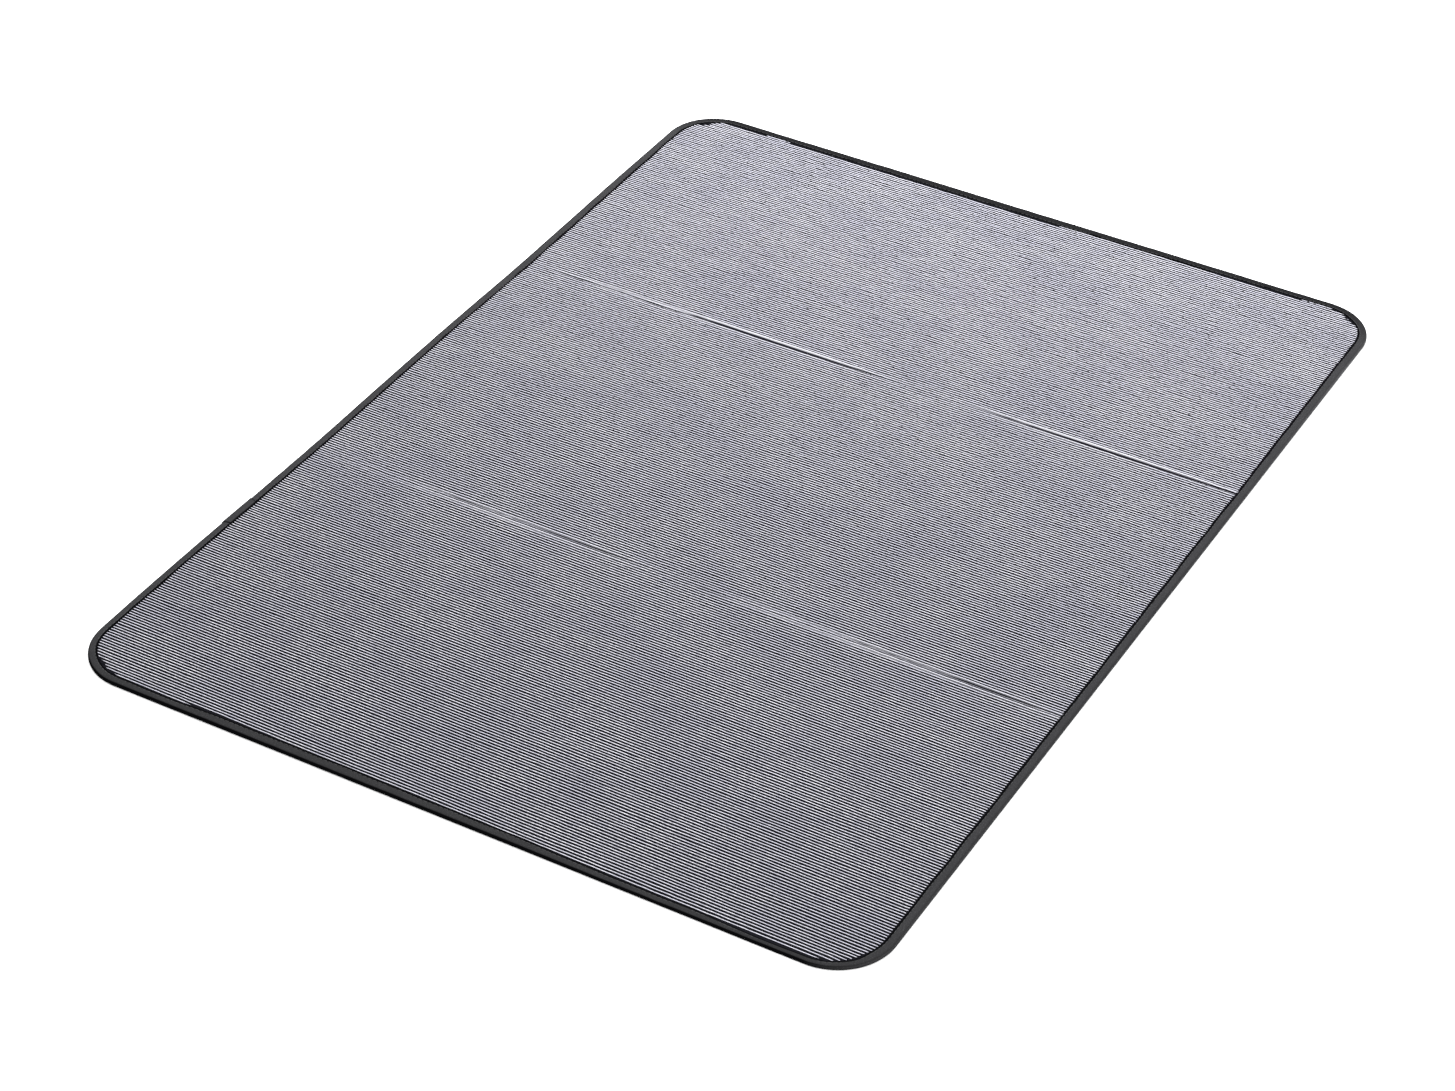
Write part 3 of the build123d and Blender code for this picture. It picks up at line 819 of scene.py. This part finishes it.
def foil_material():
    """Bright foil with fine creases."""
    s = Shader("foil_sheet", Roughness=0.28, Metallic=1.0)
    place = s.solid()
    inputs = {"Vector": place, "Scale": 1 / (9 * MM)}
    creases = s.add("TexVoronoi", inputs, feature="DISTANCE_TO_EDGE")
    lines = s.ramp(creases.outputs["Distance"], 0.0, 0.12)
    grain = s.noise(place, 1.5 * MM, detail=4)
    s.set("Base Color", s.mix(grain, (0.72, 0.72, 0.74, 1), (0.88, 0.88, 0.89, 1)))
    s.bump(s.math("ADD", lines, grain), 0.1 * MM, 0.5)
    return s.material


def film_material():
    """Amber heater film, lightly scuffed."""
    s = Shader("heater_film_sheet", Roughness=0.3, Alpha=0.75)
    place = s.solid()
    scuffs = s.noise(s.solid(scale=(1, 0.15, 1)), 1.0 * MM, detail=5)
    cloud = s.noise(place, 30 * MM, detail=3)
    s.set("Base Color", s.mix(cloud, (0.55, 0.36, 0.12, 1), (0.70, 0.50, 0.22, 1)))
    s.set("Roughness", s.ramp(scuffs, 0.35, 0.7, 0.22, 0.42))
    s.bump(scuffs, 0.03 * MM, 0.5)
    return s.material


def inner_materials():
    """The material of each kind of inner part, by the start of its node's name."""
    copper = grained(
        "bare_copper", (0.72, 0.32, 0.18, 1), (0.90, 0.50, 0.32, 1),
        size=0.4 * MM, bump=0.02 * MM, roughness=0.35, metallic=1.0, stretch=(1, 0.1, 1),
    )
    plastic = grained(
        "inlet_moulding", (0.012, 0.012, 0.013, 1), (0.03, 0.03, 0.032, 1),
        size=0.25 * MM, bump=0.04 * MM,
    )
    felt = grained(
        "needled_felt", (0.42, 0.41, 0.38, 1), (0.72, 0.71, 0.67, 1),
        size=0.8 * MM, bump=0.25 * MM, roughness=0.88,
    )
    foil = foil_material()
    film = film_material()
    carbon = grained(
        "carbon_ink", (0.008, 0.008, 0.009, 1), (0.03, 0.03, 0.032, 1),
        size=0.3 * MM, bump=0.03 * MM, roughness=0.7,
    )
    insulation = grained(
        "lead_insulation", (0.01, 0.01, 0.012, 1), (0.035, 0.035, 0.04, 1),
        size=0.4 * MM, bump=0.02 * MM, roughness=0.5,
    )
    solder = grained(
        "solder", (0.45, 0.45, 0.47, 1), (0.72, 0.72, 0.74, 1),
        size=0.6 * MM, bump=0.08 * MM, roughness=0.4, metallic=1.0,
    )
    case = grained(
        "cutoff_case", (0.50, 0.50, 0.52, 1), (0.75, 0.75, 0.77, 1),
        size=0.4 * MM, bump=0.02 * MM, roughness=0.35, metallic=1.0, stretch=(0.1, 1, 1),
    )
    sleeve = grained(
        "shrink_sleeve", (0.01, 0.01, 0.01, 1), (0.03, 0.03, 0.03, 1),
        size=0.6 * MM, bump=0.04 * MM, roughness=0.5,
    )
    brass = grained(
        "contact_brass", (0.60, 0.45, 0.18, 1), (0.83, 0.68, 0.36, 1),
        size=0.3 * MM, bump=0.02 * MM, roughness=0.3, metallic=1.0, stretch=(1, 0.1, 1),
    )
    return {
        "felt_pad": felt,
        "foil_reflector": foil,
        "heater_film": film,
        "carbon_bars": carbon,
        "bus_strips": copper,
        "crease_braids": copper,
        "lead": insulation,
        "solder_pads": solder,
        "thermal_cutoff": case,
        "cutoff_sleeve": sleeve,
        "inlet_housing": plastic,
        "inlet_contact": brass,
    }


def dress_inner_parts(materials):
    """Every CAD node that stays gets its own kind's material."""
    for name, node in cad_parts.items():
        for start, material in materials.items():
            if name.startswith(start):
                node.data.materials.clear()
                node.data.materials.append(material)


# --- Studio ---------------------------------------------------------------------------
CAMERA_PLACE = (0.8384, -1.5743, 1.3018)
CAMERA_TARGET = (0.0106, -0.0664, 0.0008)
CAMERA_ROLL = math.radians(1.315)
CAMERA_LENS = 92.45
SENSOR_WIDTH = 36.0
WORLD_STRENGTH = 1.15
FLOOR_HALF = 8.0
FLOOR_DROP = 0.3 * MM
FLOOR_GLOW = 0.25


def aim_camera():
    """The camera, looking down at the mat from the front right."""
    data = bpy.data.cameras.new("camera")
    camera = link("camera", data)
    data.lens = CAMERA_LENS
    data.sensor_width = SENSOR_WIDTH
    toward = Vector(CAMERA_TARGET) - Vector(CAMERA_PLACE)
    camera.location = CAMERA_PLACE
    camera.rotation_mode = "QUATERNION"
    roll = Quaternion((0, 0, 1), CAMERA_ROLL)
    camera.rotation_quaternion = toward.to_track_quat("-Z", "Y") @ roll
    bpy.context.scene.camera = camera


def softbox(name, place, target, size, power, colour):
    """A rectangular light of the given power in watts, facing its target."""
    data = bpy.data.lights.new(name, "AREA")
    data.color = colour
    data.shape = "RECTANGLE"
    data.size, data.size_y = size
    data.energy = power
    light = link(name, data)
    light.location = place
    light.rotation_mode = "QUATERNION"
    light.rotation_quaternion = (Vector(target) - Vector(place)).to_track_quat("-Z", "Y")


def studio():
    """A pale floor in even white light, with soft boxes above the rear and before the front."""
    world = bpy.data.worlds.new("studio")
    bpy.context.scene.world = world
    world.use_nodes = True
    background = world.node_tree.nodes["Background"]
    background.inputs["Color"].default_value = (1, 1, 1, 1)
    background.inputs["Strength"].default_value = WORLD_STRENGTH
    softbox("back_softbox", place=(-0.2, 0.5, 0.85), target=(-0.2, 0.5, 0), size=(1.2, 0.7),
            power=18, colour=(0.97, 0.97, 1.0))
    softbox("front_softbox", place=(1.2, -1.4, 2.2), target=(0, -0.1, 0), size=(1.6, 1.6),
            power=32, colour=(1.0, 1.0, 1.0))
    bpy.context.scene.view_settings.view_transform = "Standard"
    low, high, z = -FLOOR_HALF, FLOOR_HALF, -FLOOR_DROP
    corners = np.array([(low, low, z), (high, low, z), (high, high, z), (low, high, z)])
    s = Shader("studio_floor", Roughness=0.9, Specular_IOR_Level=0.0)
    s.surface.inputs["Emission Color"].default_value = (1, 1, 1, 1)
    s.surface.inputs["Emission Strength"].default_value = FLOOR_GLOW
    shade = s.noise(s.solid(), 0.8, detail=2)
    s.set("Base Color", s.mix(shade, (0.93, 0.93, 0.93, 1), (0.96, 0.96, 0.96, 1)))
    floor = make_mesh("studio_floor", corners, np.array([[0, 1, 2, 3]]), s.material)


def build():
    aim_camera()
    cover = cover_material()
    tape = tape_material()
    thread = thread_material()
    backing = backing_material()
    inner = inner_materials()
    copper = inner["crease_braids"]
    for rear in (True, False):
        ribbed_cover(rear, cover)
        backing_sheet(rear, backing)
        edge_tape(rear, tape)
        stitches(rear, thread)
    tape_lap(tape)
    crease_braids(True, ("crease_braids_middle_rear", "crease_braids_rear"), copper)
    crease_braids(False, ("crease_braids_front", "crease_braids_middle_front"), copper)
    dress_inner_parts(inner)
    studio()


build()
